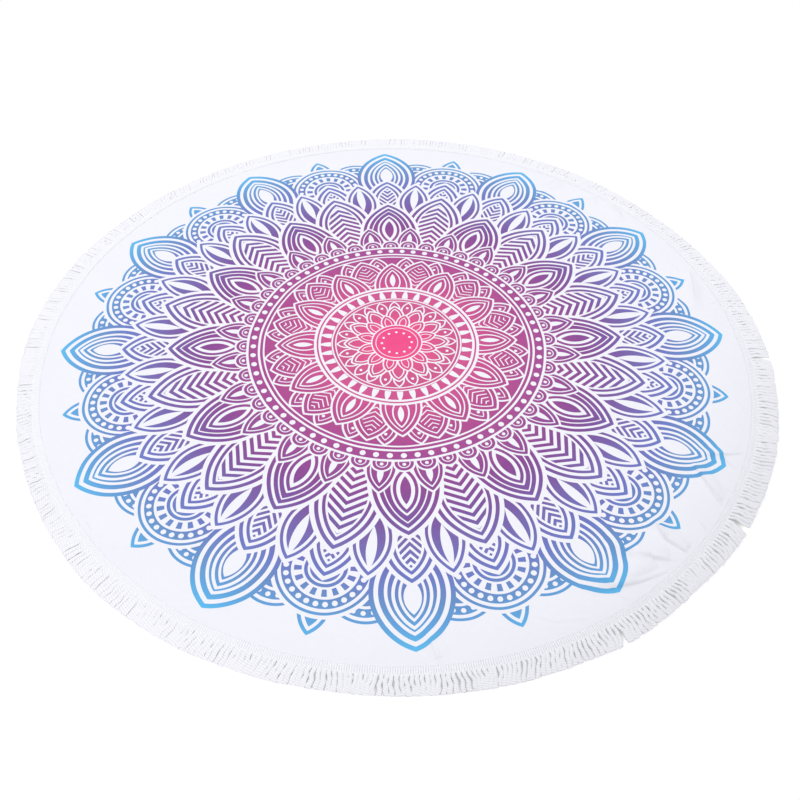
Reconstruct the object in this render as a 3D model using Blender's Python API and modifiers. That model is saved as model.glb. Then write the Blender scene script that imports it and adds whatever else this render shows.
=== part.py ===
"""Round beach towel, laid out on the ground with a few low folds.

Two sewn pieces: the round cloth, and the cotton fringe trim round its rim.
Metres, +Z up. The towel lies on the plane z = 0, with its middle over the origin.
"""

import math
import random

import bmesh
import bpy
from mathutils import Vector

# The cloth, measured to the rim where the trim is sewn on
CLOTH_RADIUS = 0.6985
OVAL = 0.0028  # what the rim's longest radius has over its mean
OVAL_ANGLE = math.radians(-8.0)  # where the longest radius points
CLOTH_THICKNESS = 0.002
CELLS_ACROSS = 20  # the sheet is this many cells wide where it lies flat

# The folds that stay in the cloth as it lies, each a soft ridge along a straight crest
# start x, start y, end x, end y, height, half width
FOLDS = (
    (0.542, -0.292, 0.575, -0.374, 0.005, 0.018),
    (0.552, -0.270, 0.630, -0.262, 0.004, 0.016),
    (0.440, -0.405, 0.497, -0.474, 0.006, 0.020),
    (0.360, -0.464, 0.462, -0.490, 0.007, 0.026),
    (0.310, -0.546, 0.436, -0.502, 0.009, 0.030),
    (0.058, -0.605, 0.076, -0.678, 0.004, 0.022),
    (0.634, 0.240, 0.622, 0.115, 0.006, 0.025),
    (0.488, 0.468, 0.510, 0.410, 0.005, 0.020),
    (0.396, 0.478, 0.470, 0.490, 0.005, 0.022),
    (0.338, 0.530, 0.392, 0.556, 0.005, 0.020),
)
FOLD_HALVINGS = 3  # how often the cells under a fold are halved

# The trim: a narrow heading, and its cords in flat locks of two
TRIM_GAP = 0.0003
HEADING_WIDTH = 0.0120
HEADING_THICKNESS = 0.003
LOCKS = 284
ROOT_SHARE = 0.73  # of the heading's outer edge that the locks' roots take up
LOCK_REACH = 0.0385
REACH_SPREAD = 0.0022
LEAN = 0.0035  # sideways at the tips, in groups of neighbouring locks
LEAN_SPREAD = 0.0010  # sideways at the tip, lock by lock
# A lock's sections: how far out in lock lengths, half width, height
LOCK_SECTIONS = (
    (0.50, 0.0054, 0.0050),
    (1.00, 0.0042, 0.0036),
)
# Where the fringe lies parted: direction, opening to each side, turn over which it fades
PARTINGS = (
    (math.radians(-35.5), 0.0050, math.radians(6.0)),
    (math.radians(-60.2), 0.0045, math.radians(5.0)),
)

COLLECTION_NAME = "round_beach_towel"
CLOTH_COLOUR = (0.72, 0.62, 0.82, 1.0)
TRIM_COLOUR = (0.90, 0.90, 0.92, 1.0)
FULL_TURN = 2.0 * math.pi


def fabric(name, colour):
    material = bpy.data.materials.new(name)
    material.use_nodes = True
    surface = material.node_tree.nodes["Principled BSDF"]
    surface.inputs["Base Color"].default_value = colour
    surface.inputs["Roughness"].default_value = 0.9
    surface.inputs["Metallic"].default_value = 0.0
    return material


def add_piece(name, shape, colour, collection):
    mesh = bpy.data.meshes.new(name)
    shape.to_mesh(mesh)
    shape.free()
    mesh.materials.append(fabric(name + "_fabric", colour))
    piece = bpy.data.objects.new(name, mesh)
    collection.objects.link(piece)
    return piece


def rim_radius(angle):
    """The cloth's radius in a direction: a circle that lies a little oval."""
    return CLOTH_RADIUS + OVAL * math.cos(2.0 * (angle - OVAL_ANGLE))


def on_towel(place):
    """Where a point of the square from -1 to 1 lies on the round cloth: cells stay even."""
    reach = max(abs(place.x), abs(place.y))
    if reach == 0.0:
        return Vector((0.0, 0.0, 0.0))
    if abs(place.x) >= abs(place.y):
        angle = math.pi / 4.0 * place.y / place.x + (0.0 if place.x > 0.0 else math.pi)
    else:
        angle = math.pi / 4.0 * (2.0 - place.x / place.y) + (0.0 if place.y > 0.0 else math.pi)
    radius = reach * rim_radius(angle)
    return Vector((radius * math.cos(angle), radius * math.sin(angle), 0.0))


def from_fold(point, fold):
    """Where a point lies by a fold: along its crest, from 0 to 1, and how far to the side."""
    start = Vector(fold[0:2])
    run = Vector(fold[2:4]) - start
    offset = point.to_2d() - start
    along = offset.dot(run) / run.length_squared
    return along, (offset - run * along).length


def fold_lift(point, fold):
    """How high a fold lifts the cloth at a point: it swells from both ends to its middle."""
    height, half_width = fold[4:6]
    along, aside = from_fold(point, fold)
    if not 0.0 < along < 1.0:
        return 0.0
    swell = math.sin(math.pi * along)
    aside = min(aside / half_width, 1.0)
    return height * swell * (1.0 + math.cos(math.pi * aside)) / 2.0


def is_under(place, fold, reach):
    """Whether a point of the cloth lies under a fold, or within a reach of it."""
    length = (Vector(fold[2:4]) - Vector(fold[0:2])).length
    along, aside = from_fold(place, fold)
    return -reach < along * length < length + reach and aside < fold[5] + reach


def towel_cloth(collection):
    """The round cut of cloth: an even sheet, lifted along its folds, then given thickness."""
    sheet = bmesh.new()
    bmesh.ops.create_grid(sheet, x_segments=CELLS_ACROSS, y_segments=CELLS_ACROSS, size=1.0)
    for halving in range(FOLD_HALVINGS):
        reach = 1.2 * CLOTH_RADIUS / CELLS_ACROSS / 2.0 ** halving
        edges = set()
        for cell in sheet.faces:
            middle = on_towel(cell.calc_center_median())
            if any(is_under(middle, fold, reach) for fold in FOLDS):
                edges.update(cell.edges)
        bmesh.ops.subdivide_edges(sheet, edges=list(edges), cuts=1, use_grid_fill=True)
    long_edge = 1.5 / CELLS_ACROSS
    rim = [edge for edge in sheet.edges if edge.is_boundary and edge.calc_length() > long_edge]
    bmesh.ops.subdivide_edges(sheet, edges=rim, cuts=1)
    for vert in sheet.verts:
        vert.co = on_towel(vert.co)
    for vert in sheet.verts:
        vert.co.z = sum(fold_lift(vert.co, fold) for fold in FOLDS)
    bmesh.ops.triangulate(sheet, faces=sheet.faces)
    cloth = add_piece("towel_cloth", sheet, CLOTH_COLOUR, collection)
    thickness = cloth.modifiers.new("thickness", "SOLIDIFY")
    thickness.thickness = CLOTH_THICKNESS
    thickness.offset = 1.0
    return cloth


def new_verts(result):
    """The vertices that an extrusion made."""
    return [item for item in result["geom"] if isinstance(item, bmesh.types.BMVert)]


def heading_ring():
    """The heading: a flat ring beside the cloth's rim, its edge marked off into lock roots."""
    ring = bmesh.new()
    bmesh.ops.create_circle(ring, radius=1.0, segments=2 * LOCKS)
    pitch = FULL_TURN / LOCKS
    for vert in ring.verts:
        place = round(math.atan2(vert.co.y, vert.co.x) / (pitch / 2.0))
        middle = (place // 2 + 0.5) * pitch
        half_root = pitch * ROOT_SHARE / 2.0
        angle = middle - half_root if place % 2 == 0 else middle + half_root
        radius = rim_radius(angle) + TRIM_GAP
        vert.co = (radius * math.cos(angle), radius * math.sin(angle), 0.0)
    for vert in new_verts(bmesh.ops.extrude_edge_only(ring, edges=ring.edges)):
        vert.co *= 1.0 + HEADING_WIDTH / vert.co.length
    top = new_verts(bmesh.ops.extrude_face_region(ring, geom=ring.faces))
    bmesh.ops.translate(ring, verts=top, vec=(0.0, 0.0, HEADING_THICKNESS))
    bmesh.ops.recalc_face_normals(ring, faces=ring.faces)
    return ring


def is_root(face):
    """Whether a face of the heading is one of the wide ones on its outer edge."""
    middle = face.calc_center_median()
    width = face.calc_area() / HEADING_THICKNESS
    outwards = face.normal.dot(middle.normalized()) > 0.9
    return outwards and width > FULL_TURN / LOCKS * middle.length / 2.0


def lock_layout():
    """Each lock's direction, reach and lean. Neighbours lean together, as the cords lie."""
    chance = random.Random(11)
    layout = []
    for number in range(LOCKS):
        angle = FULL_TURN * (number + 0.5) / LOCKS
        reach = LOCK_REACH + chance.uniform(-REACH_SPREAD, REACH_SPREAD)
        lean = LEAN * (0.6 * math.sin(9.0 * angle + 0.7) + 0.4 * math.sin(23.0 * angle + 2.1))
        lean += chance.uniform(-LEAN_SPREAD, LEAN_SPREAD)
        for parting, opening, fade in PARTINGS:
            turn = (angle - parting + math.pi) % FULL_TURN - math.pi
            lean += math.copysign(opening, turn) * math.exp(-abs(turn) / fade)
        layout.append((angle, reach, lean))
    return layout


def draw_out(end, lock, section):
    """Moves the end of a lock out to its next section, its underside level on z = 0."""
    angle, reach, lean = lock
    share, half_width, height = section
    outwards = Vector((math.cos(angle), math.sin(angle), 0.0))
    sideways = Vector((-outwards.y, outwards.x, 0.0))
    radius = rim_radius(angle) + TRIM_GAP + HEADING_WIDTH + reach * share
    middle = outwards * radius + sideways * lean * share * share
    old_middle = end.calc_center_median()
    for vert in end.verts:
        offset = vert.co - old_middle
        side = math.copysign(half_width, offset.dot(sideways))
        lift = height if offset.z > 0.0 else 0.0
        vert.co = middle + sideways * side + Vector((0.0, 0.0, lift))


def fringe_trim(collection):
    """The fringe: the heading, with the locks drawn out of its outer edge."""
    trim = heading_ring()
    layout = lock_layout()
    ends = [face for face in trim.faces if is_root(face)]
    for section in LOCK_SECTIONS:
        ends = bmesh.ops.extrude_discrete_faces(trim, faces=ends)["faces"]
        for end in ends:
            middle = end.calc_center_median()
            turn = math.atan2(middle.y, middle.x) % FULL_TURN
            draw_out(end, layout[int(turn / FULL_TURN * LOCKS)], section)
    return add_piece("fringe_trim", trim, TRIM_COLOUR, collection)


def build_towel():
    for item in list(bpy.data.objects):
        bpy.data.objects.remove(item, do_unlink=True)
    collection = bpy.data.collections.new(COLLECTION_NAME)
    bpy.context.scene.collection.children.link(collection)
    towel_cloth(collection)
    fringe_trim(collection)


build_towel()
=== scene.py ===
"""A round beach towel lying flat: printed cloth, and a cotton fringe sewn round its rim."""

import math
import random

import bmesh
import bpy
from mathutils import Matrix, Vector, noise


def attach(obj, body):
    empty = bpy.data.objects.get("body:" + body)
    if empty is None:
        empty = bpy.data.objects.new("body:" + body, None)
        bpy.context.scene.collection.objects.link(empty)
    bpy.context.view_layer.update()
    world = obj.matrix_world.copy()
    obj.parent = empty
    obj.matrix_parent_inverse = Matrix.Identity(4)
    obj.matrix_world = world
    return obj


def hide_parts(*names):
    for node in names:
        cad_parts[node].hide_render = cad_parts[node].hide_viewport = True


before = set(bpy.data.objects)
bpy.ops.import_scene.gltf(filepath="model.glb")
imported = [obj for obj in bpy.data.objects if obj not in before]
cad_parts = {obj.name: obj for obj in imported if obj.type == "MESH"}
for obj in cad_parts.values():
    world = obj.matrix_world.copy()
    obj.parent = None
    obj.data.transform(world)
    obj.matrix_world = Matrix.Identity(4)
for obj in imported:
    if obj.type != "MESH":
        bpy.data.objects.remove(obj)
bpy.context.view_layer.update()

# ---------------------------------------------------------------------------
# The cloth: one round cut of smooth cotton towelling, white right through, its edge turned
# under the fringe. It lies flat, with the folds that are left from how it was thrown down.
# ---------------------------------------------------------------------------
RIM_RADIUS = 0.6985
OVAL = 0.0028  # what the longest radius has over the mean
OVAL_ANGLE = math.radians(-8.0)
RIM_WAVER = 0.0016  # the seam draws the rim in and out a little
RIM_WAVERS = 10.0
CLOTH_THICKNESS = 0.0018
CELLS_ACROSS = 140
FLAT_RIM = 0.016  # the seam holds the cloth flat this far in from the rim

# Main folds: a crest's points, its height, and how far the cloth slopes to its left and right
FOLDS = (
    (((0.542, -0.292), (0.563, -0.336), (0.575, -0.374)), 0.0052, 0.020, 0.014),
    (((0.552, -0.270), (0.590, -0.271), (0.630, -0.262)), 0.0042, 0.018, 0.012),
    (((0.440, -0.405), (0.464, -0.447), (0.497, -0.474)), 0.0060, 0.024, 0.014),
    (((0.360, -0.464), (0.412, -0.484), (0.462, -0.490)), 0.0068, 0.030, 0.017),
    (((0.310, -0.546), (0.378, -0.535), (0.436, -0.502)), 0.0088, 0.036, 0.021),
    (((0.058, -0.605), (0.064, -0.640), (0.076, -0.678)), 0.0040, 0.026, 0.018),
    (((0.634, 0.240), (0.632, 0.180), (0.622, 0.115)), 0.0060, 0.028, 0.019),
    (((0.488, 0.468), (0.503, 0.445), (0.510, 0.410)), 0.0050, 0.022, 0.015),
    (((0.396, 0.478), (0.432, 0.489), (0.470, 0.490)), 0.0050, 0.018, 0.024),
    (((0.338, 0.530), (0.368, 0.548), (0.392, 0.556)), 0.0050, 0.016, 0.022),
)
# Fine creases: the same, but a few millimetres wide
CREASES = (
    (((0.540, -0.292), (0.561, -0.348), (0.580, -0.402)), 0.0024, 0.006, 0.003),
    (((0.524, -0.412), (0.537, -0.447), (0.541, -0.462)), 0.0022, 0.006, 0.004),
    (((0.450, -0.424), (0.464, -0.457), (0.502, -0.487)), 0.0029, 0.008, 0.003),
    (((0.570, -0.273), (0.612, -0.271), (0.656, -0.265)), 0.0014, 0.006, 0.003),
    (((0.595, -0.272), (0.604, -0.287), (0.613, -0.305)), 0.0019, 0.005, 0.003),
    (((0.628, -0.300), (0.638, -0.296), (0.652, -0.298)), 0.0016, 0.005, 0.003),
    (((0.408, -0.484), (0.436, -0.493), (0.471, -0.497)), 0.0022, 0.007, 0.004),
    (((0.350, -0.552), (0.406, -0.538), (0.456, -0.517)), 0.0029, 0.009, 0.004),
    (((0.638, 0.236), (0.631, 0.179), (0.629, 0.143)), 0.0022, 0.007, 0.004),
    (((0.660, 0.133), (0.676, 0.140), (0.690, 0.142)), 0.0016, 0.005, 0.003),
    (((0.352, 0.556), (0.378, 0.570), (0.405, 0.586)), 0.0021, 0.006, 0.004),
    (((0.428, 0.494), (0.455, 0.499), (0.482, 0.501)), 0.0021, 0.006, 0.004),
    (((0.511, 0.462), (0.514, 0.445), (0.517, 0.425)), 0.0019, 0.005, 0.003),
    (((0.062, -0.644), (0.070, -0.664), (0.078, -0.688)), 0.0019, 0.007, 0.004),
    (((-0.520, -0.440), (-0.512, -0.450), (-0.506, -0.462)), 0.0014, 0.006, 0.004),
    (((0.482, -0.452), (0.497, -0.470), (0.508, -0.478)), 0.0012, 0.006, 0.003),
    (((0.556, -0.330), (0.590, -0.352), (0.612, -0.362)), 0.0011, 0.007, 0.004),
    (((0.330, -0.520), (0.372, -0.566), (0.398, -0.582)), 0.0012, 0.008, 0.004),
    (((0.210, -0.598), (0.262, -0.612), (0.320, -0.604)), 0.0010, 0.010, 0.005),
    (((0.642, -0.120), (0.660, -0.152), (0.668, -0.190)), 0.0010, 0.008, 0.004),
    (((0.600, 0.262), (0.612, 0.236), (0.616, 0.208)), 0.0011, 0.008, 0.004),
)
SWELL = 0.0007  # the low rise and fall of cloth that lies loose
SWELLS_A_METRE = 8.0
FOLD_SPAN = 0.12  # no fold reaches further than this from its middle
FOLD_MARGIN = 0.008  # how far beside the folds the cells are halved
CREASE_MARGINS = (0.003, 0.001)  # and, for the creases alone, halved twice more


def rim_stretch(angle):
    """What the towel's radius has over its mean in a direction."""
    waver = noise.noise(Vector((math.cos(angle), math.sin(angle), 0.0)) * RIM_WAVERS)
    return OVAL * math.cos(2.0 * (angle - OVAL_ANGLE)) + RIM_WAVER * waver


def on_towel(place):
    """Where a point of the square from -1 to 1 lies on the round cut: cells stay even."""
    reach = max(abs(place.x), abs(place.y))
    if reach == 0.0:
        return Vector((0.0, 0.0, 0.0))
    if abs(place.x) >= abs(place.y):
        angle = math.pi / 4.0 * place.y / place.x + (0.0 if place.x > 0.0 else math.pi)
    else:
        angle = math.pi / 4.0 * (2.0 - place.x / place.y) + (0.0 if place.y > 0.0 else math.pi)
    radius = reach * (RIM_RADIUS + rim_stretch(angle))
    return Vector((radius * math.cos(angle), radius * math.sin(angle), 0.0))


def from_crest(x, y, crest):
    """How far along a crest a place lies, from 0 to 1, and how far to its left."""
    steps = len(crest) - 1
    nearest = (1.0e9, 0.0, 0.0)
    for step in range(steps):
        (start_x, start_y), (end_x, end_y) = crest[step], crest[step + 1]
        run_x, run_y = end_x - start_x, end_y - start_y
        length = math.hypot(run_x, run_y)
        share = ((x - start_x) * run_x + (y - start_y) * run_y) / (length * length)
        share = min(max(share, 0.0), 1.0)
        off_x, off_y = x - start_x - run_x * share, y - start_y - run_y * share
        away = math.hypot(off_x, off_y)
        if away < nearest[0]:
            left = math.copysign(away, run_x * off_y - run_y * off_x)
            nearest = (away, (step + share) / steps, left)
    return nearest[1], nearest[2]


def lift_of(x, y, fold):
    """How high a fold or crease lifts the cloth at a place."""
    crest, height, left_slope, right_slope = fold
    middle_x, middle_y = crest[len(crest) // 2]
    reach = math.dist(crest[0], crest[-1]) + left_slope + right_slope
    if abs(x - middle_x) > reach or abs(y - middle_y) > reach:
        return 0.0
    along, left = from_crest(x, y, crest)
    aside = left / left_slope if left > 0.0 else -left / right_slope
    if aside >= 1.0:
        return 0.0
    return height * math.sin(math.pi * along) ** 0.5 * (1.0 + math.cos(math.pi * aside)) / 2.0


def cloth_lift(x, y):
    """How high the cloth's underside lies above the ground at a place."""
    radius = math.hypot(x, y)
    held = min(max((RIM_RADIUS - radius) / FLAT_RIM, 0.0), 1.0)
    held = held * held * (3.0 - 2.0 * held)
    lift = sum(lift_of(x, y, fold) for fold in FOLDS + CREASES)
    place = Vector((x * SWELLS_A_METRE, y * SWELLS_A_METRE, 4.0))
    lift += SWELL * (0.5 + 0.5 * noise.noise(place))
    return lift * held


def halve_cells(sheet, folds, margin):
    """Halves the sheet's cells under the folds and in a margin beside them."""
    for face in sheet.data.polygons:
        middle = on_towel(face.center)
        face.select = False
        for crest, height, left_slope, right_slope in folds:
            if math.dist(crest[len(crest) // 2], middle.to_2d()) > FOLD_SPAN:
                continue
            along, left = from_crest(middle.x, middle.y, crest)
            if -right_slope - margin < left < left_slope + margin:
                face.select = True
                break
    for edge in sheet.data.edges:
        edge.select = False
    for vertex in sheet.data.vertices:
        vertex.select = False
    bpy.ops.object.mode_set(mode="EDIT")
    bpy.ops.mesh.select_mode(type="FACE")
    bpy.ops.mesh.subdivide(number_cuts=1)
    bpy.ops.object.mode_set(mode="OBJECT")


def finish_piece(piece):
    """Attaches a piece to the root body, and shades it smooth."""
    for face in piece.data.polygons:
        face.use_smooth = True
    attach(piece, "root")


bpy.ops.object.select_all(action="DESELECT")
bpy.ops.mesh.primitive_grid_add(x_subdivisions=CELLS_ACROSS, y_subdivisions=CELLS_ACROSS, size=2.0)
cloth = bpy.context.object
cloth.name = "towel_cloth_sewn"
halve_cells(cloth, FOLDS + CREASES, FOLD_MARGIN)
for margin in CREASE_MARGINS:
    halve_cells(cloth, CREASES, margin)
for vertex in cloth.data.vertices:
    vertex.co = on_towel(vertex.co)
    vertex.co.z = cloth_lift(vertex.co.x, vertex.co.y)

# The cloth's right side is a skin of its own on the same folds, for the print
SKIN_GAP = 0.0002
bpy.ops.object.duplicate()
printed_face = bpy.context.object
printed_face.name = "printed_face"
for vertex, below in zip(printed_face.data.vertices, cloth.data.vertices):
    vertex.co = below.co + below.normal * (CLOTH_THICKNESS + SKIN_GAP)

bpy.ops.object.select_all(action="DESELECT")
bpy.context.view_layer.objects.active = cloth
cloth.select_set(True)
thickness = cloth.modifiers.new("thickness", "SOLIDIFY")
thickness.thickness = CLOTH_THICKNESS
thickness.offset = 1.0
bpy.ops.object.modifier_apply(modifier="thickness")


def linear(red, green, blue):
    """A colour as a screen shows it, from 0 to 255, as the shaders need it."""
    parts = [part / 255.0 for part in (red, green, blue)]
    return [p / 12.92 if p <= 0.04045 else ((p + 0.055) / 1.055) ** 2.4 for p in parts] + [1.0]


def reckon(tree, operation, *values):
    """A math node fed with numbers or sockets. Gives its result's socket."""
    node = tree.nodes.new("ShaderNodeMath")
    node.operation = operation
    for socket, value in zip(node.inputs, values):
        if isinstance(value, bpy.types.NodeSocket):
            tree.links.new(value, socket)
        else:
            socket.default_value = value
    return node.outputs[0]


def grain(tree, place, grains_a_metre, detail):
    """Fine noise at a place, from 0 to 1."""
    node = tree.nodes.new("ShaderNodeTexNoise")
    node.inputs["Scale"].default_value = grains_a_metre
    node.inputs["Detail"].default_value = detail
    tree.links.new(place, node.inputs["Vector"])
    return node.outputs["Fac"]


# The nap of smooth towelling: short loops brushed flat, over the faint rows of the knit
LOOPS_A_METRE = 620.0
BRUSH_MARKS_A_METRE = 90.0
PATCHES_A_METRE = 11.0  # wide, faint changes of tone
BRUSH_MARK_HEIGHT = 0.7  # where a loop's height is 1
ROW_HEIGHT = 0.08
LOOP_TONE = 0.35  # what each adds to the tone
BRUSH_MARK_TONE = 0.35
PATCH_TONE = 0.30

towelling = bpy.data.node_groups.new("towelling", "ShaderNodeTree")
towelling.interface.new_socket("Place", in_out="INPUT", socket_type="NodeSocketVector")
towelling.interface.new_socket("Rows a metre", in_out="INPUT", socket_type="NodeSocketFloat")
towelling.interface.new_socket("Height", in_out="OUTPUT", socket_type="NodeSocketFloat")
towelling.interface.new_socket("Tone", in_out="OUTPUT", socket_type="NodeSocketFloat")
into = towelling.nodes.new("NodeGroupInput")
out_of = towelling.nodes.new("NodeGroupOutput")
loops = grain(towelling, into.outputs["Place"], LOOPS_A_METRE, 2.0)
brushed = grain(towelling, into.outputs["Place"], BRUSH_MARKS_A_METRE, 3.0)
wide = grain(towelling, into.outputs["Place"], PATCHES_A_METRE, 2.0)
parts = towelling.nodes.new("ShaderNodeSeparateXYZ")
towelling.links.new(into.outputs["Place"], parts.inputs[0])
row = reckon(towelling, "MULTIPLY", parts.outputs["X"], into.outputs["Rows a metre"])
row = reckon(towelling, "SINE", reckon(towelling, "MULTIPLY", row, 2.0 * math.pi))
height = reckon(towelling, "MULTIPLY_ADD", row, ROW_HEIGHT, loops)
height = reckon(towelling, "MULTIPLY_ADD", brushed, BRUSH_MARK_HEIGHT, height)
towelling.links.new(height, out_of.inputs["Height"])
tone = reckon(towelling, "MULTIPLY", brushed, BRUSH_MARK_TONE)
tone = reckon(towelling, "MULTIPLY_ADD", loops, LOOP_TONE, tone)
tone = reckon(towelling, "MULTIPLY_ADD", wide, PATCH_TONE, tone)
towelling.links.new(tone, out_of.inputs["Tone"])

CLOTH_WHITE = linear(240, 240, 247)
CLOTH_SHADE = linear(229, 229, 238)
KNIT_ROWS_A_METRE = 420.0
NAP_HEIGHT = 0.0004
ROUGHNESS = 0.84
TONE_ROUGHNESS = 0.12  # how much rougher the palest tone is


def new_fabric(name, rows_a_metre, nap_height):
    """A cotton with a nap. Gives it, its nodes, the place on the piece, its tone, its shader."""
    material = bpy.data.materials.new(name)
    material.use_nodes = True
    tree = material.node_tree
    place = tree.nodes.new("ShaderNodeTexCoord").outputs["Object"]
    surface = tree.nodes["Principled BSDF"]
    nap = tree.nodes.new("ShaderNodeGroup")
    nap.node_tree = towelling
    nap.inputs["Rows a metre"].default_value = rows_a_metre
    tree.links.new(place, nap.inputs["Place"])
    bump = tree.nodes.new("ShaderNodeBump")
    bump.inputs["Distance"].default_value = nap_height
    bump.inputs["Strength"].default_value = 0.6
    tree.links.new(nap.outputs["Height"], bump.inputs["Height"])
    tree.links.new(bump.outputs["Normal"], surface.inputs["Normal"])
    roughness = reckon(tree, "MULTIPLY_ADD", nap.outputs["Tone"], TONE_ROUGHNESS, ROUGHNESS)
    tree.links.new(roughness, surface.inputs["Roughness"])
    surface.inputs["Metallic"].default_value = 0.0
    surface.inputs["Specular IOR Level"].default_value = 0.25
    surface.inputs["Sheen Weight"].default_value = 0.08
    surface.inputs["Sheen Roughness"].default_value = 0.5
    return material, tree, place, nap.outputs["Tone"], surface


def blend_colours(tree, share, first, second):
    """Mixes two colours, given as numbers or sockets, by a share."""
    mix = tree.nodes.new("ShaderNodeMix")
    mix.data_type = "RGBA"
    for socket, value in ((mix.inputs[0], share), (mix.inputs[6], first), (mix.inputs[7], second)):
        if isinstance(value, bpy.types.NodeSocket):
            tree.links.new(value, socket)
        else:
            socket.default_value = value
    return mix.outputs[2]


cloth_white, tree, place, tone, surface = new_fabric(
    "white_towelling", KNIT_ROWS_A_METRE, NAP_HEIGHT)
colour = blend_colours(tree, tone, CLOTH_SHADE, CLOTH_WHITE)
tree.links.new(colour, surface.inputs["Base Color"])
cloth.data.materials.append(cloth_white)
finish_piece(cloth)
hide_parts("towel_cloth")

# ---------------------------------------------------------------------------
# The print: one dyed pattern of petals on the cloth's right side, pink in the middle, then
# purple, violet and sky blue. Its white lines are bare cloth, so it is flat and has the nap.
# ---------------------------------------------------------------------------
PRINT_TURN = math.radians(3.5)
WAVER = 2.4  # how far the drawing hand strays at most, in millimetres
WAVERS_A_METRE = 10.0
MILLIMETRES_A_METRE = 1000.0

printed, tree, place, tone, surface = new_fabric(
    "printed_towelling", KNIT_ROWS_A_METRE, NAP_HEIGHT)
to_millimetres = tree.nodes.new("ShaderNodeVectorMath")
to_millimetres.operation = "SCALE"
to_millimetres.inputs["Scale"].default_value = MILLIMETRES_A_METRE
tree.links.new(place, to_millimetres.inputs[0])
waver = tree.nodes.new("ShaderNodeTexNoise")
waver.inputs["Scale"].default_value = WAVERS_A_METRE
waver.inputs["Detail"].default_value = 1.0
tree.links.new(place, waver.inputs["Vector"])
drawn = tree.nodes.new("ShaderNodeVectorMath")
drawn.operation = "MULTIPLY_ADD"
drawn.inputs[1].default_value = (WAVER * 2.0, WAVER * 2.0, 0.0)
tree.links.new(waver.outputs["Color"], drawn.inputs[0])
tree.links.new(to_millimetres.outputs[0], drawn.inputs[2])
centred = tree.nodes.new("ShaderNodeVectorMath")
centred.operation = "SUBTRACT"
centred.inputs[1].default_value = (WAVER, WAVER, 0.0)
tree.links.new(drawn.outputs[0], centred.inputs[0])
axes = tree.nodes.new("ShaderNodeSeparateXYZ")
tree.links.new(centred.outputs[0], axes.inputs[0])
square = reckon(tree, "MULTIPLY", axes.outputs["Y"], axes.outputs["Y"])
square = reckon(tree, "MULTIPLY_ADD", axes.outputs["X"], axes.outputs["X"], square)
radius = reckon(tree, "SQRT", square)
bearing = reckon(tree, "ARCTAN2", axes.outputs["Y"], axes.outputs["X"])


def spokes(count, step=0.0):
    """The plane folded about a spoke: along it, and off it to a side, on count spokes."""
    turned = reckon(tree, "SUBTRACT", bearing, PRINT_TURN + step * 2.0 * math.pi / count)
    off = reckon(tree, "PINGPONG", turned, math.pi / count)
    folded = tree.nodes.new("ShaderNodeCombineXYZ")
    along = reckon(tree, "MULTIPLY", radius, reckon(tree, "COSINE", off))
    aside = reckon(tree, "MULTIPLY", radius, reckon(tree, "SINE", off))
    tree.links.new(along, folded.inputs["X"])
    tree.links.new(aside, folded.inputs["Y"])
    return {"point": folded.outputs[0], "along": along, "aside": aside}


def disc(spoke, along, reach, aside=0.0):
    """A round, its middle on a spoke. Gives how deep inside its edge a point is."""
    away = tree.nodes.new("ShaderNodeVectorMath")
    away.operation = "DISTANCE"
    away.inputs[1].default_value = (along, aside, 0.0)
    tree.links.new(spoke["point"], away.inputs[0])
    return reckon(tree, "SUBTRACT", reach, away.outputs["Value"])


def petal(spoke, tip, widest, half_width):
    """A pointed petal along a spoke. Gives how deep inside its edge a point is."""
    rise = tip - widest
    below = (rise * rise - half_width * half_width) / (2.0 * half_width)
    return disc(spoke, widest, below + half_width, -below)


def inside(depth, start=0.0):
    """White where a point is deeper than this."""
    return reckon(tree, "GREATER_THAN", depth, start)


def lines(depth, *spans):
    """White lines that follow an edge, each from one depth to another."""
    drawn_so_far = 0.0
    for start, end in spans:
        line = reckon(tree, "COMPARE", depth, (start + end) / 2.0, (end - start) / 2.0)
        drawn_so_far = line if drawn_so_far == 0.0 else either(drawn_so_far, line)
    return drawn_so_far


def either(*masks):
    """White where any of these is."""
    result = masks[0]
    for mask in masks[1:]:
        result = reckon(tree, "MAXIMUM", result, mask)
    return result


def both(first, second):
    """White where both of these are."""
    return reckon(tree, "MULTIPLY", first, second)


def stripes(value, pitch, width):
    """White stripes of a width, each a pitch from the next."""
    return reckon(tree, "LESS_THAN", reckon(tree, "FLOORED_MODULO", value, pitch), width)


def slanted(spoke, slope):
    """A measure along a spoke that slants back at its sides."""
    return reckon(tree, "MULTIPLY_ADD", spoke["aside"], slope, spoke["along"])


def round_middle(spoke, along):
    """The direction of a point from a place on a spoke."""
    return reckon(tree, "ARCTAN2", spoke["aside"], reckon(tree, "SUBTRACT", spoke["along"], along))


def rays(direction, count, share):
    """White rays out of a place, on this share of the turn."""
    off = reckon(tree, "PINGPONG", direction, math.pi / count)
    return reckon(tree, "LESS_THAN", off, math.pi / count * share)


def beads(depth, direction, count, track, reach, size):
    """White beads in a row inside the edge of a disc, each of a size."""
    off = reckon(tree, "PINGPONG", direction, math.pi / count)
    aside = reckon(tree, "MULTIPLY", off, reach - track)
    inwards = reckon(tree, "SUBTRACT", depth, track)
    square = reckon(tree, "MULTIPLY_ADD", aside, aside, reckon(tree, "MULTIPLY", inwards, inwards))
    return reckon(tree, "LESS_THAN", square, size * size)


def lay(depth, white):
    """Draws a shape over what is drawn: ink inside its edge, but for the white given."""
    global bare
    mix = tree.nodes.new("ShaderNodeMix")
    mix.data_type = "FLOAT"
    tree.links.new(inside(depth), mix.inputs[0])
    for socket, value in ((mix.inputs[2], bare), (mix.inputs[3], white)):
        if isinstance(value, bpy.types.NodeSocket):
            tree.links.new(value, socket)
        else:
            socket.default_value = value
    bare = mix.outputs[0]


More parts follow.
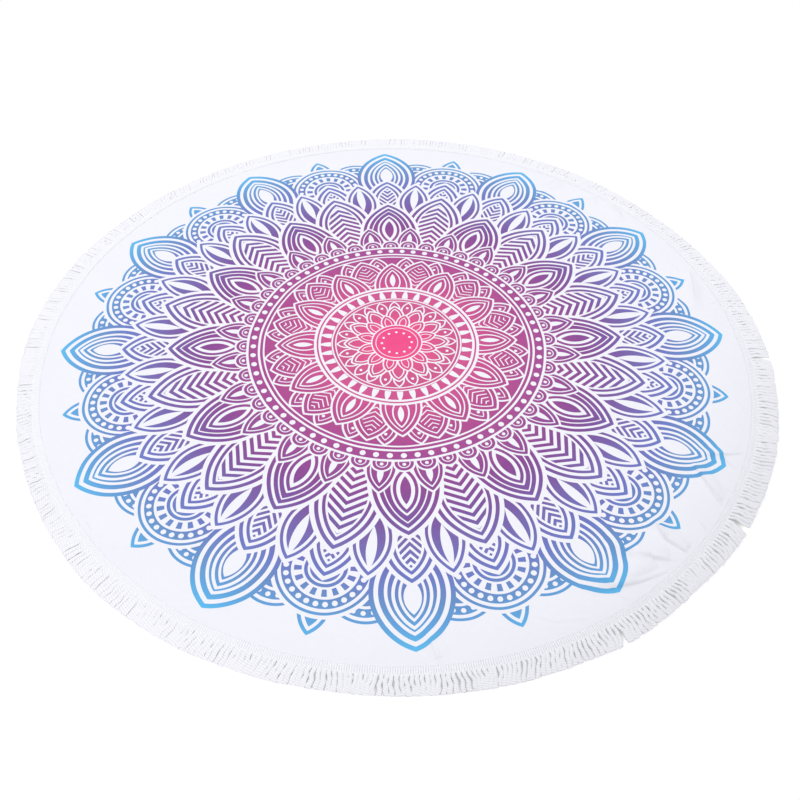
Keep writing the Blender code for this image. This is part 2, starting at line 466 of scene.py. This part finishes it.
# The drawing, from its outside in: each shape lies over those before it. Sizes are in
# millimetres, and a depth is how far inside its shape's edge a point is.
bare = 1.0  # the share of bare cloth; drawing starts on white
main = spokes(12)
between = spokes(12, 0.5)
double = spokes(24)
offset = spokes(24, 0.5)

# Small spikes behind the fans
depth = petal(between, 657, 606, 27)
lay(depth, lines(depth, (6, 11.5)))

# Scallops between the spikes and the long petals
depth = disc(offset, 560, 66)
lay(depth, either(lines(depth, (5, 11), (26, 31)),
                  beads(depth, round_middle(offset, 560), 18, 18.5, 66, 4.2)))

# Fans with beads and rays
depth = disc(between, 536, 92)
turn = round_middle(between, 536)
lay(depth, either(lines(depth, (0, 6.5), (11.5, 17.5), (34, 39), (52, 56), (62, 66)),
                  beads(depth, turn, 26, 25.5, 92, 4.8),
                  both(rays(turn, 16, 0.52), lines(depth, (38, 53)))))

# The longest petals, a leaf and a drop in each
depth = petal(main, 671, 568, 70)
leaf = petal(main, 634, 572, 34)
drop = petal(main, 608, 577, 15)
lay(depth, either(lines(depth, (8, 15.5), (24.5, 30)), lines(leaf, (0, 5.5), (11, 15.5)),
                  inside(drop)))

# A ring of single petals, ribbed
depth = petal(double, 560, 476, 50)
rib = both(stripes(slanted(double, -1.1), 15, 6.8), inside(depth, 28))
lay(depth, either(lines(depth, (0, 7.5), (14, 20), (25.5, 30)), rib))

# Leaves that fill the gaps between the broad petals
depth = petal(offset, 548, 470, 40)
lay(depth, either(lines(depth, (0, 7), (12.5, 18)), inside(petal(offset, 530, 486, 9))))

# Broad petals with chevrons
depth = petal(between, 508, 392, 66)
chevrons = both(stripes(slanted(between, 0.8), 17, 8.2), inside(depth, 31))
lay(depth, either(lines(depth, (0, 8.5), (15.5, 22), (28, 32)), chevrons))

# Broad petals with an eye
depth = petal(main, 468, 352, 68)
eye = petal(main, 420, 366, 27)
lay(depth, either(lines(depth, (0, 7.5), (14.5, 19.5), (27, 29.5)),
                  lines(eye, (0, 4), (10, 17))))

# Small pointed petals round the beaded band
depth = petal(offset, 376, 318, 30)
lay(depth, either(lines(depth, (0, 4), (9.5, 12)), inside(petal(offset, 352, 330, 6))))

# Scallops round the beaded band
scallop = spokes(48)
depth = disc(scallop, 306, 21)
lay(depth, either(lines(depth, (0, 3.8), (9.5, 11.5)), inside(disc(scallop, 309, 3.4))))

# The beaded band
middle = spokes(72)
depth = reckon(tree, "SUBTRACT", 303.0, radius)
lay(depth, either(lines(depth, (0, 5), (23.5, 28), (33.5, 37)), inside(disc(middle, 289, 5.6))))

# The inner flower: petals with hatching
depth = petal(offset, 268, 222, 25)
lay(depth, either(lines(depth, (0, 4), (10, 12)), inside(disc(offset, 240, 3.2))))
depth = petal(between, 262, 190, 42)
hatch = both(stripes(slanted(between, -0.7), 11, 2.8), inside(depth, 18))
lay(depth, either(lines(depth, (0, 4), (10.5, 13)), hatch))
depth = petal(main, 246, 172, 41)
lay(depth, either(lines(depth, (0, 4), (10.5, 13)), lines(petal(main, 224, 186, 17), (0, 3)),
                  inside(petal(main, 210, 190, 6))))

# The tooth ring
depth = reckon(tree, "SUBTRACT", 168.0, radius)
tooth = spokes(36)
teeth = both(inside(petal(tooth, 158, 136, 6)), lines(depth, (9, 35)))
lay(depth, either(lines(depth, (0, 5.5), (9, 14), (36, 39), (43.5, 46)), teeth))

# The heart
depth = petal(double, 122, 100, 12)
lay(depth, either(lines(depth, (0, 3)), inside(disc(double, 104, 3))))
depth = petal(main, 108, 76, 20)
lay(depth, lines(depth, (0, 3.5), (7.5, 10)))
depth = petal(between, 84, 58, 15)
lay(depth, lines(depth, (0, 2.8), (7.5, 9.2)))
depth = reckon(tree, "SUBTRACT", 52.0, radius)
lay(depth, either(lines(depth, (0, 2.6), (9, 10.6)), inside(disc(main, 30, 2.6))))

PALER = 0.10  # how much bare cloth shows through the dye where the nap is palest
# The dye, by millimetres from the middle
DYE = (
    (0.0, (232, 51, 123)),
    (40.0, (233, 54, 128)),
    (75.0, (213, 62, 128)),
    (100.0, (196, 66, 127)),
    (160.0, (199, 61, 134)),
    (220.0, (175, 49, 129)),
    (300.0, (152, 47, 136)),
    (380.0, (125, 45, 136)),
    (430.0, (111, 62, 148)),
    (480.0, (106, 88, 165)),
    (540.0, (94, 107, 186)),
    (590.0, (88, 133, 192)),
    (630.0, (79, 153, 212)),
    (670.0, (76, 180, 232)),
)
dye = tree.nodes.new("ShaderNodeValToRGB")
dye.color_ramp.elements[0].position = 0.0
dye.color_ramp.elements[1].position = 1.0
for number, (distance, shade) in enumerate(DYE):
    share = distance / DYE[-1][0]
    if 0 < number < len(DYE) - 1:
        stop = dye.color_ramp.elements.new(share)
    else:
        stop = dye.color_ramp.elements[0 if number == 0 else -1]
    stop.color = linear(*shade)
tree.links.new(reckon(tree, "DIVIDE", radius, DYE[-1][0]), dye.inputs[0])

white = blend_colours(tree, tone, CLOTH_SHADE, CLOTH_WHITE)
paler = blend_colours(tree, reckon(tree, "MULTIPLY", tone, PALER), dye.outputs[0], white)
colour = blend_colours(tree, bare, paler, white)
tree.links.new(colour, surface.inputs["Base Color"])
printed_face.data.materials.append(printed)
finish_piece(printed_face)

# ---------------------------------------------------------------------------
# The heading of the fringe: a narrow chained tape of white cotton, of which each cord hangs
# from two ribs. Its inner edge laps over the cloth's rim, with a groove where the seam goes.
# ---------------------------------------------------------------------------
TRIM_GAP = 0.0003
HEADING_WIDTH = 0.0120
LAP = 0.0030
RIBS = 1136  # two for each cord
RIB_SHAPE = (1.0, 0.85, 0.0, 0.85)  # heights from one rib to the next
FLAT_RIBS = 0.4  # how deep its ribs stay where the trim is pressed flat
# How far out from the rim, height on a rib, height between ribs
HEADING_PROFILE = (
    (-LAP, 0.0021, 0.0021),
    (-LAP + 0.0003, 0.0030, 0.0024),
    (-LAP + 0.0006, 0.0030, 0.0024),
    (-LAP + 0.0008, 0.0023, 0.0022),
    (-LAP + 0.0020, 0.0023, 0.0022),
    (-LAP + 0.0023, 0.0032, 0.0023),
    (0.0010, 0.0037, 0.0022),
    (0.0030, 0.0028, 0.0018),
    (0.0050, 0.0039, 0.0013),
    (0.0071, 0.0029, 0.0013),
    (0.0092, 0.0038, 0.0013),
    (HEADING_WIDTH, 0.0026, 0.0012),
    (HEADING_WIDTH, 0.0, 0.0),
    (TRIM_GAP, 0.0, 0.0),
    (TRIM_GAP, 0.0021, 0.0021),
)
PRESSED = 0.36  # how much lower its outer edge lies where the trim is pressed flat
# How loose the trim lies by direction in degrees: 0 where its cords are pressed flat against
# each other, 1 where they are round and gaps show between them
LOOSE = (
    (0.0, 0.6), (40.0, 0.35), (60.0, 0.1), (80.0, 0.0), (150.0, 0.0), (235.0, 0.0),
    (248.0, 0.3), (265.0, 0.7), (285.0, 0.9), (335.0, 0.9), (360.0, 0.6),
)


def along_table(table, place):
    """The value a table gives at a place between its rows."""
    for (start, first), (end, second) in zip(table, table[1:]):
        if place <= end:
            return first + (second - first) * (place - start) / (end - start)
    return table[-1][1]


bpy.ops.object.select_all(action="DESELECT")
loop_size = len(RIB_SHAPE) * RIBS
bpy.ops.mesh.primitive_circle_add(vertices=loop_size, radius=1.0)
heading = bpy.context.object
heading.name = "fringe_heading"
bpy.ops.object.mode_set(mode="EDIT")
bpy.ops.mesh.select_mode(type="EDGE")
bpy.ops.mesh.select_all(action="SELECT")
for loop in range(len(HEADING_PROFILE) - 1):
    bpy.ops.mesh.extrude_edges_move()
bpy.ops.object.mode_set(mode="OBJECT")


def at_rim(angle, out, height):
    """A place by the rim: a direction, how far out of the cloth's rim, and how high."""
    distance = RIM_RADIUS + rim_stretch(angle) + out
    return Vector((distance * math.cos(angle), distance * math.sin(angle), height))


for number, vertex in enumerate(heading.data.vertices):
    out, on_rib, off_rib = HEADING_PROFILE[number // loop_size]
    turn = 2.0 * math.pi * (number % loop_size) / loop_size
    loose = along_table(LOOSE, math.degrees(turn))
    if out > 0.0:
        on_rib *= 1.0 - PRESSED * (1.0 - loose) * out / HEADING_WIDTH
    depth = (1.0 - RIB_SHAPE[number % len(RIB_SHAPE)]) * max(on_rib - off_rib, 0.0)
    depth *= FLAT_RIBS + loose
    vertex.co = at_rim(turn, out, max(on_rib - depth, 0.0))
bpy.ops.object.mode_set(mode="EDIT")
bpy.ops.mesh.select_all(action="DESELECT")
bpy.ops.mesh.select_non_manifold()
bpy.ops.mesh.bridge_edge_loops()
bpy.ops.mesh.select_all(action="SELECT")
bpy.ops.mesh.normals_make_consistent(inside=False)
bpy.ops.object.mode_set(mode="OBJECT")

YARN_ROWS_A_METRE = 700.0
YARN_HEIGHT = 0.0003
GROOVE_PAINTED_SHADE_GREY = linear(200, 200, 212)
GROOVE_PAINTED_SHADE = 0.45  # how far the grooves between ribs are painted towards that grey, as painted shade
GROOVE_SHARPNESS = 3.0

chained, tree, place, tone, surface = new_fabric(
    "chained_cotton", YARN_ROWS_A_METRE, YARN_HEIGHT)
axes = tree.nodes.new("ShaderNodeSeparateXYZ")
tree.links.new(place, axes.inputs[0])
turn = reckon(tree, "ARCTAN2", axes.outputs["Y"], axes.outputs["X"])
# Painted shade: the grooves between the ribs are painted grey, where shade falls between them
groove = reckon(tree, "COSINE", reckon(tree, "MULTIPLY", turn, float(RIBS)))
groove = reckon(tree, "MULTIPLY_ADD", groove, -0.5, 0.5)
groove = reckon(tree, "POWER", groove, GROOVE_SHARPNESS)
shade = reckon(tree, "MULTIPLY", groove, GROOVE_PAINTED_SHADE)
colour = blend_colours(tree, tone, linear(240, 240, 247), linear(248, 248, 253))
colour = blend_colours(tree, shade, colour, GROOVE_PAINTED_SHADE_GREY)
tree.links.new(colour, surface.inputs["Base Color"])
heading.data.materials.append(chained)
finish_piece(heading)
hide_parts("fringe_trim")

# ---------------------------------------------------------------------------
# The seam: a row of short machine stitches in white thread, through the lap of the heading
# and the cloth under it.
# ---------------------------------------------------------------------------
STITCHES = 1040
STITCH = Vector((0.0028, 0.0008, 0.0005))  # length, width of its two plies, height
SEAM_OUT = -0.0016
SEAM_HEIGHT = 0.0024


def add_copy(shape, model):
    """Adds a copy of a model to a shape, and gives the copy's points."""
    first = len(shape.verts)
    shape.from_mesh(model.data)
    shape.verts.ensure_lookup_table()
    return shape.verts[first:]


def make_piece(name, shape, model):
    """Makes a piece of a shape, and clears away the model whose copies it holds."""
    mesh = bpy.data.meshes.new(name)
    shape.to_mesh(mesh)
    shape.free()
    piece = bpy.data.objects.new(name, mesh)
    bpy.context.scene.collection.objects.link(piece)
    bpy.data.objects.remove(model)
    return piece


bpy.ops.object.select_all(action="DESELECT")
bpy.ops.mesh.primitive_uv_sphere_add(segments=6, ring_count=4, radius=0.5)
stitch = bpy.context.object
seam_shape = bmesh.new()
for number in range(STITCHES):
    angle = 2.0 * math.pi * (number + 0.5) / STITCHES
    middle = at_rim(angle, SEAM_OUT, SEAM_HEIGHT)
    turn = Matrix.Rotation(angle + math.pi / 2.0, 3, "Z")
    for vertex in add_copy(seam_shape, stitch):
        vertex.co = middle + turn @ (vertex.co * STITCH)
seam = make_piece("seam_stitches", seam_shape, stitch)
seam.data.materials.append(chained)
finish_piece(seam)

# ---------------------------------------------------------------------------
# The cords: two-ply twists of soft white cotton that hang from the heading, one from every two
# ribs. They lie on the ground, crinkle, lean together in groups, and part in three places.
# ---------------------------------------------------------------------------
CORDS = 568
UNEVEN_SPACING = 0.06  # of the space from one cord to the next
UNDER_HEADING = 0.0030
# How far the cords reach beyond the heading: they are cut unevenly. Direction in degrees, reach
CUT = (
    (0.0, 0.0415), (14.0, 0.0410), (24.0, 0.0360), (36.0, 0.0325), (48.0, 0.0350),
    (72.0, 0.0380), (90.0, 0.0390), (108.0, 0.0335), (126.0, 0.0315), (144.0, 0.0335),
    (160.0, 0.0370), (180.0, 0.0370), (195.0, 0.0295), (206.0, 0.0295), (218.0, 0.0340),
    (230.0, 0.0390), (245.0, 0.0370), (264.0, 0.0325), (288.0, 0.0335), (300.0, 0.0390),
    (312.0, 0.0350), (324.0, 0.0400), (340.0, 0.0400), (360.0, 0.0415),
)
UNEVEN_CUT = 0.0008  # how far a cord's reach strays from that
# How long the loose fibres are at their ends
FRAY = (
    (0.0, 0.0095), (40.0, 0.0105), (70.0, 0.0130), (110.0, 0.0120), (160.0, 0.0100),
    (190.0, 0.0070), (215.0, 0.0040), (280.0, 0.0040), (297.0, 0.0080), (330.0, 0.0110),
    (360.0, 0.0095),
)
FRAYED_BACK = 0.4  # how much of that the cord itself is shorter
# How far neighbours lean sideways together, at their tips: direction in degrees, millimetres
LEANS = (
    (0, 1), (8, 1), (16, -3), (22, -6), (26, -6), (29, 4), (34, 0), (44, -1), (47, -5), (50, 4),
    (54, 0), (64, -1), (70, 4), (76, 2), (82, 0), (90, -2), (95, -5), (102, -4), (112, -5),
    (120, -10), (132, -14), (142, -12), (150, -5), (160, -4), (170, -3), (180, 0), (188, -6),
    (192, -6), (197, 5), (204, 1), (212, 2), (216, 6), (220, 0), (223, -5), (230, 1), (240, 0),
    (246, -6), (249, -7), (252, -5), (257, -7), (260, -6), (264, 4), (268, -5), (270, 2),
    (273, 0), (276, -6), (280, 7), (283, -4), (288, -10), (293, -10), (297, 4), (301, -5),
    (304, 3), (308, 0), (311, 6), (315, -9), (319, -5), (324, -4), (328, 6), (335, 6), (341, 7),
    (343, -3), (349, 6), (355, 3), (360, 1),
)
RIPPLE = 0.0018  # how far they lean as small groups lie
RIPPLES = 26.0  # how often that comes round the rim
RIPPLE_STRAY, RIPPLE_STRAYS = 1.6, 3.0  # how unevenly it comes round
RIPPLE_START = 0.4
LEAN_CURVE = 1.3  # how much of a lean comes near the tip
STRAY = 0.0003  # how far each cord leans on its own
GROUP_SIZES = (1, 1, 2, 2, 3, 4)
GROUP_LEAN = 0.0012
PRESSED_GROUP_LEAN = 0.35  # how much of it is left where the trim is pressed flat
GATHER = 0.0004  # how far neighbours in a group close up
GATHER_END = 0.75  # where along the cords that ends
# Where the fringe lies parted: direction, opening to each side, turn over which it fades
PARTINGS = (
    (math.radians(-35.5), 0.0070, math.radians(4.0)),
    (math.radians(-60.2), 0.0065, math.radians(4.0)),
    (math.radians(-2.0), 0.0045, math.radians(3.0)),
)
CRINKLES = 2.2  # a cord's own waves along its length
CRINKLE_SIZES = (0.0002, 0.0011)
BEND = 0.0016  # the longer wave that neighbours share
BENDS = 24.0  # how often that wave comes round the rim
BEND_STRAY, BEND_STRAYS = 2.0, 7.0  # how unevenly it comes round
BEND_START = 0.25  # where along a cord the waves have their full size
PRESSED_BEND = 0.3  # how much of bend and gather is left where the trim is pressed flat
HUMPS = (0.0, 0.0, 0.0004, 0.0010)  # how high a cord may rise off the ground, half way along
CORD_SIDES = 8
CORD_SECTIONS = (0.0, 0.06, 0.16, 0.27, 0.39, 0.51, 0.63, 0.75, 0.86, 0.95, 1.0)
# Half width and half height along a cord: bound and round at the root, loose and flat at the
# cut end
CORD_WIDTH = (
    (0.0, 0.0035), (0.06, 0.0037), (0.50, 0.0039), (0.72, 0.0044), (0.88, 0.0047), (1.0, 0.0045),
)
CORD_HEIGHT = (
    (0.0, 0.0012), (0.06, 0.0016), (0.15, 0.0026), (0.40, 0.0026), (0.60, 0.0021),
    (0.86, 0.0012), (1.0, 0.0003),
)
GIRTHS = (0.94, 1.06)
LOOSENESS = (0.55, 1.1)  # how loose single cords are, for how loose the trim lies there
PRESSED_HEIGHT = 0.26  # how high a cord is where it is pressed flat
PRESSED_FROM = 0.30  # where along a cord it is fully flat
PRESSED_WIDER = 0.20
ROOT_WIDER = 0.10  # how much wider the root is where pressed, and how much less where loose
ROOT_EASE = 0.15
SETTLING = 1.5  # how far a cord's sides sink, for a round top
LEAST_HEIGHT = 0.0001  # keeps the cords' undersides off the ground


def sway(share, angle, ease, crinkle, start):
    """How far its own crinkles, and the wave it shares, take a cord to the side."""
    own = crinkle * math.sin(start + 2.0 * math.pi * CRINKLES * share)
    uneven = BEND_STRAY * math.sin(BEND_STRAYS * angle)
    shared = BEND * ease * math.sin(2.0 * math.pi * share + BENDS * angle + uneven)
    return (own + shared) * min(share / BEND_START, 1.0)


bpy.ops.object.select_all(action="DESELECT")
bpy.ops.mesh.primitive_circle_add(vertices=CORD_SIDES, radius=1.0, fill_type="NGON")
cord = bpy.context.object
bpy.ops.object.mode_set(mode="EDIT")
bpy.ops.mesh.select_all(action="SELECT")
for section in range(len(CORD_SECTIONS) - 1):
    bpy.ops.mesh.extrude_region_move(TRANSFORM_OT_translate={"value": (0.0, 0.0, 1.0)})
bpy.ops.mesh.select_all(action="SELECT")
bpy.ops.mesh.normals_make_consistent(inside=False)
bpy.ops.object.mode_set(mode="OBJECT")

cord_chance = random.Random(29)
cord_shape = bmesh.new()
corner_place = []  # each point's place round its cord and along it, and its twist's start
cord_ends = []  # for the loose fibres: end, outwards, sideways, slant, and their length
group_size, group_place, group_lean = 1, 1, 0.0
for number in range(CORDS):
    if group_place == group_size:
        group_size, group_place = cord_chance.choice(GROUP_SIZES), 0
        group_lean = cord_chance.uniform(-GROUP_LEAN, GROUP_LEAN)
    uneven = cord_chance.uniform(-UNEVEN_SPACING, UNEVEN_SPACING)
    angle = 2.0 * math.pi * (number + 0.5 + uneven) / CORDS
    degrees = math.degrees(angle)
    outwards = Vector((math.cos(angle), math.sin(angle), 0.0))
    sideways = Vector((-outwards.y, outwards.x, 0.0))
    fray = along_table(FRAY, degrees)
    reach = along_table(CUT, degrees) + cord_chance.uniform(-UNEVEN_CUT, UNEVEN_CUT)
    reach -= FRAYED_BACK * fray
    uneven = RIPPLE_STRAY * math.sin(RIPPLE_STRAYS * angle + RIPPLE_START)
    lean = RIPPLE * math.sin(RIPPLES * angle + uneven)
    lean += along_table(LEANS, degrees) / MILLIMETRES_A_METRE
    for parting, opening, fade in PARTINGS:
        turn = (angle - parting + math.pi) % (2.0 * math.pi) - math.pi
        lean += math.copysign(opening, turn) * math.exp(-abs(turn) / fade)
    wave = cord_chance.uniform(0.0, 2.0 * math.pi)
    crinkle = cord_chance.uniform(*CRINKLE_SIZES)
    hump = cord_chance.choice(HUMPS)
    girth = cord_chance.uniform(*GIRTHS)
    loose = along_table(LOOSE, degrees) * cord_chance.uniform(*LOOSENESS)
    ease = PRESSED_BEND + (1.0 - PRESSED_BEND) * loose
    flattened = (1.0 - PRESSED_HEIGHT) * (1.0 - min(loose, 1.0))
    lean += group_lean * (PRESSED_GROUP_LEAN + (1.0 - PRESSED_GROUP_LEAN) * loose)
    lean += cord_chance.uniform(-STRAY, STRAY)
    gather = GATHER * ((group_size - 1) / 2.0 - group_place) * ease
    group_place += 1
    phase = cord_chance.uniform(0.0, 1.0)
    start = at_rim(angle, HEADING_WIDTH - UNDER_HEADING, 0.0)
    for vertex in add_copy(cord_shape, cord):
        share = CORD_SECTIONS[round(vertex.co.z)]
        around = math.atan2(vertex.co.y, vertex.co.x)
        corner_place.append((around / (2.0 * math.pi) % 1.0, share, phase))
        wider = 1.0 + PRESSED_WIDER * (1.0 - loose)
        wider += (1.0 - share) * (ROOT_WIDER - ROOT_EASE * loose)
        half_width = along_table(CORD_WIDTH, share) * girth * wider
        half_height = along_table(CORD_HEIGHT, share) * girth
        half_height *= 1.0 - flattened * min(share / PRESSED_FROM, 1.0)
        along = share * (reach + UNDER_HEADING)
        aside = lean * share ** LEAN_CURVE + sway(share, angle, ease, crinkle, wave)
        aside += math.cos(around) * half_width
        aside += gather * math.sin(math.pi * min(share / GATHER_END, 1.0))
        settled = 2.0 * (0.5 + 0.5 * math.sin(around)) ** SETTLING
        height = half_height * settled + hump * math.sin(math.pi * share)
        vertex.co = start + outwards * along + sideways * aside
        vertex.co.z = max(height, LEAST_HEIGHT)
    end = start + outwards * (reach + UNDER_HEADING)
    end += sideways * (lean + sway(1.0, angle, ease, crinkle, wave))
    cord_ends.append((end, outwards, sideways, LEAN_CURVE * lean / reach, fray))
cords = make_piece("fringe_cords", cord_shape, cord)

# The twist's own map: round each cord from 0 to 1, and along it. A face that closes the round
# has corners near 0 and near 1, and those near 0 go on past 1.
strands = cords.data.uv_layers.new(name="strands")
for face in cords.data.polygons:
    across = [corner_place[cords.data.loops[index].vertex_index] for index in face.loop_indices]
    wraps = max(across, key=lambda one: one[0])[0] > 0.7
    for index, (around, along, phase) in zip(face.loop_indices, across):
        strands.data[index].uv = (phase + around + (wraps and around < 0.3), along)

PLIES = 2.0
TWISTS = 9.0  # turns of each ply along a cord
PLY_RELIEF = 0.0004
PLY_SHARPNESS = 4.0
# The grey painted into the grooves between the plies as shade, and how far they go to it
PLY_GROOVE_PAINTED_SHADE_GREY = linear(210, 210, 222)
PLY_GROOVE_PAINTED_SHADE = 0.10

twisted, tree, place, tone, surface = new_fabric("twisted_cotton", YARN_ROWS_A_METRE, NAP_HEIGHT)
strand = tree.nodes.new("ShaderNodeUVMap")
strand.uv_map = "strands"
axes = tree.nodes.new("ShaderNodeSeparateXYZ")
tree.links.new(strand.outputs["UV"], axes.inputs[0])
twist = reckon(tree, "MULTIPLY", axes.outputs["X"], PLIES)
twist = reckon(tree, "MULTIPLY_ADD", axes.outputs["Y"], TWISTS, twist)
ply = reckon(tree, "COSINE", reckon(tree, "MULTIPLY", twist, 2.0 * math.pi))
groove = reckon(tree, "MULTIPLY_ADD", ply, -0.5, 0.5)
groove = reckon(tree, "POWER", groove, PLY_SHARPNESS)
relief = tree.nodes.new("ShaderNodeBump")
relief.inputs["Distance"].default_value = PLY_RELIEF
tree.links.new(reckon(tree, "SUBTRACT", 1.0, groove), relief.inputs["Height"])
tree.links.new(surface.inputs["Normal"].links[0].from_socket, relief.inputs["Normal"])
tree.links.new(relief.outputs["Normal"], surface.inputs["Normal"])
# Painted shade: the grooves between the plies are painted greyer, as well as sunk by the bump
shade = reckon(tree, "MULTIPLY", groove, PLY_GROOVE_PAINTED_SHADE)
colour = blend_colours(tree, tone, linear(238, 238, 245), linear(246, 246, 251))
colour = blend_colours(tree, shade, colour, PLY_GROOVE_PAINTED_SHADE_GREY)
tree.links.new(colour, surface.inputs["Base Color"])
cords.data.materials.append(twisted)
finish_piece(cords)

# ---------------------------------------------------------------------------
# The cut ends of the cords: each comes loose in a small flat brush of soft cotton fibres. It
# isn't bound or knotted, so the fibres fan out a little and end unevenly.
# ---------------------------------------------------------------------------
FIBRES = 18  # at each cord's end
FIBRE_WIDTH = 0.0006
FIBRE_HEIGHT = 0.0004
FIBRE_SPREAD = 0.5  # how far they slant to the sides, for their length
FIBRE_LENGTHS = (0.25, 1.0)  # the shortest and the longest, for the cord's own
FIBRE_STUB = 0.0010  # how much longer each is, and how far it starts inside the cord
BRUSH_HALF_WIDTH = 0.0047
UNEVEN_ROOTS = 0.1  # of that

bpy.ops.object.select_all(action="DESELECT")
bpy.ops.mesh.primitive_cone_add(vertices=3, radius1=0.5, radius2=0.0, depth=1.0)
fibre = bpy.context.object
fibre_chance = random.Random(5)
fibre_shape = bmesh.new()
for end, outwards, sideways, slant, fray in cord_ends:
    for number in range(FIBRES):
        uneven = fibre_chance.uniform(-UNEVEN_ROOTS, UNEVEN_ROOTS)
        across = (number + 0.5) / FIBRES * 2.0 - 1.0 + uneven
        root = end + sideways * across * BRUSH_HALF_WIDTH - outwards * FIBRE_STUB
        length = FIBRE_STUB + fray * fibre_chance.uniform(*FIBRE_LENGTHS)
        turned = slant + fibre_chance.uniform(-FIBRE_SPREAD, FIBRE_SPREAD)
        along = (outwards + sideways * turned).normalized()
        beside = Vector((-along.y, along.x, 0.0))
        for vertex in add_copy(fibre_shape, fibre):
            share = vertex.co.z + 0.5
            spot = root + along * length * share - beside * vertex.co.x * FIBRE_WIDTH
            spot.z = FIBRE_HEIGHT - vertex.co.y * FIBRE_WIDTH
            vertex.co = spot
fibres = make_piece("frayed_ends", fibre_shape, fibre)

FIBRE_NAP = 0.0001
loose_cotton, tree, place, tone, surface = new_fabric(
    "loose_cotton", YARN_ROWS_A_METRE, FIBRE_NAP)
colour = blend_colours(tree, tone, linear(243, 243, 250), linear(250, 250, 254))
tree.links.new(colour, surface.inputs["Base Color"])
fibres.data.materials.append(loose_cotton)
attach(fibres, "root")

# ---------------------------------------------------------------------------
# The floor, the light and the camera: a plain pale floor, even light from all round, and a
# lamp above the towel's upper left whose pool of light fades towards the lower right. The
# camera is where the photograph was taken from.
# ---------------------------------------------------------------------------
FLOOR_SIZE = 14.0
FLOOR_DROP = 0.0002  # how far it lies below the towel
FLOOR_GREY = (0.25, 0.25, 0.25, 1.0)
FLOOR_GLOW = 0.84
PAINTED_SHADOW_UNDER_TOWEL = (0.38, 0.38, 0.38, 1.0)  # its glow under the towel, dimmed as a painted shadow, and in the open
OPEN_FLOOR = (1.0, 1.0, 1.0, 1.0)
SHADE_EDGE = 0.7258  # how far from the towel's middle the painted shadow ends and the glow starts to rise
EDGE_SHARPNESS = 62.0

bpy.ops.object.select_all(action="DESELECT")
bpy.ops.mesh.primitive_plane_add(size=FLOOR_SIZE, location=(0.0, 0.0, -FLOOR_DROP))
floor = bpy.context.object
floor.name = "floor"
floor_paint = bpy.data.materials.new("floor_paint")
floor_paint.use_nodes = True
floor_surface = floor_paint.node_tree.nodes["Principled BSDF"]
floor_surface.inputs["Base Color"].default_value = FLOOR_GREY
floor_surface.inputs["Roughness"].default_value = 0.9
floor_surface.inputs["Specular IOR Level"].default_value = 0.0
# The floor glows by itself, so it renders white. Under the towel and the inner fringe its glow is
# dimmed: a painted shadow that greys the gaps between the cords.
floor_surface.inputs["Emission Strength"].default_value = FLOOR_GLOW
tree = floor_paint.node_tree
away = tree.nodes.new("ShaderNodeVectorMath")
away.operation = "LENGTH"
tree.links.new(tree.nodes.new("ShaderNodeTexCoord").outputs["Object"], away.inputs[0])
past_edge = reckon(tree, "SUBTRACT", away.outputs["Value"], SHADE_EDGE)
in_open = reckon(tree, "MULTIPLY", past_edge, EDGE_SHARPNESS)
in_open = reckon(tree, "MINIMUM", reckon(tree, "MAXIMUM", in_open, 0.0), 1.0)
glow = blend_colours(tree, in_open, PAINTED_SHADOW_UNDER_TOWEL, OPEN_FLOOR)
tree.links.new(glow, floor_surface.inputs["Emission Color"])
floor.data.materials.append(floor_paint)

EVEN_LIGHT = 0.64
world = bpy.context.scene.world or bpy.data.worlds.new("studio")
bpy.context.scene.world = world
world.use_nodes = True
background = world.node_tree.nodes["Background"]
background.inputs["Color"].default_value = (1.0, 1.0, 1.0, 1.0)
background.inputs["Strength"].default_value = EVEN_LIGHT

LAMP_PLACE = (-0.3, 0.3, 4.0)
LAMP_WATTS = 316.0
LAMP_RADIUS = 0.15
POOL_RADIUS = 1.46  # how far from under the lamp its pool of light ends
POOL_FADE = 0.5
lamp_data = bpy.data.lights.new("soft_lamp", "SPOT")
lamp_data.energy = LAMP_WATTS
lamp_data.shadow_soft_size = LAMP_RADIUS
lamp_data.spot_size = 2.0 * math.atan(POOL_RADIUS / LAMP_PLACE[2])
lamp_data.spot_blend = POOL_FADE
lamp = bpy.data.objects.new("soft_lamp", lamp_data)
lamp.location = LAMP_PLACE
bpy.context.scene.collection.objects.link(lamp)

AIM = Vector((0.00894, -0.15275, 0.0))  # the place on the towel in the middle of the view
ELEVATION = math.radians(48.715)
ROLL = math.radians(1.0836)
DISTANCE = 1.7163
LENS = 40.29
backwards = Vector((0.0, -math.cos(ELEVATION), math.sin(ELEVATION)))
right = Vector((1.0, 0.0, 0.0))
up = backwards.cross(right)
rolled_right = right * math.cos(ROLL) + up * math.sin(ROLL)
rolled_up = up * math.cos(ROLL) - right * math.sin(ROLL)
camera_data = bpy.data.cameras.new("camera")
camera_data.lens = LENS
camera_data.sensor_width = 36.0
camera_data.clip_end = 50.0
camera = bpy.data.objects.new("camera", camera_data)
camera.matrix_world = Matrix.Translation(AIM + backwards * DISTANCE) @ Matrix(
    (rolled_right, rolled_up, backwards)).transposed().to_4x4()
bpy.context.scene.collection.objects.link(camera)
bpy.context.scene.camera = camera
bpy.context.scene.view_settings.view_transform = "Standard"
bpy.context.scene.view_settings.look = "None"
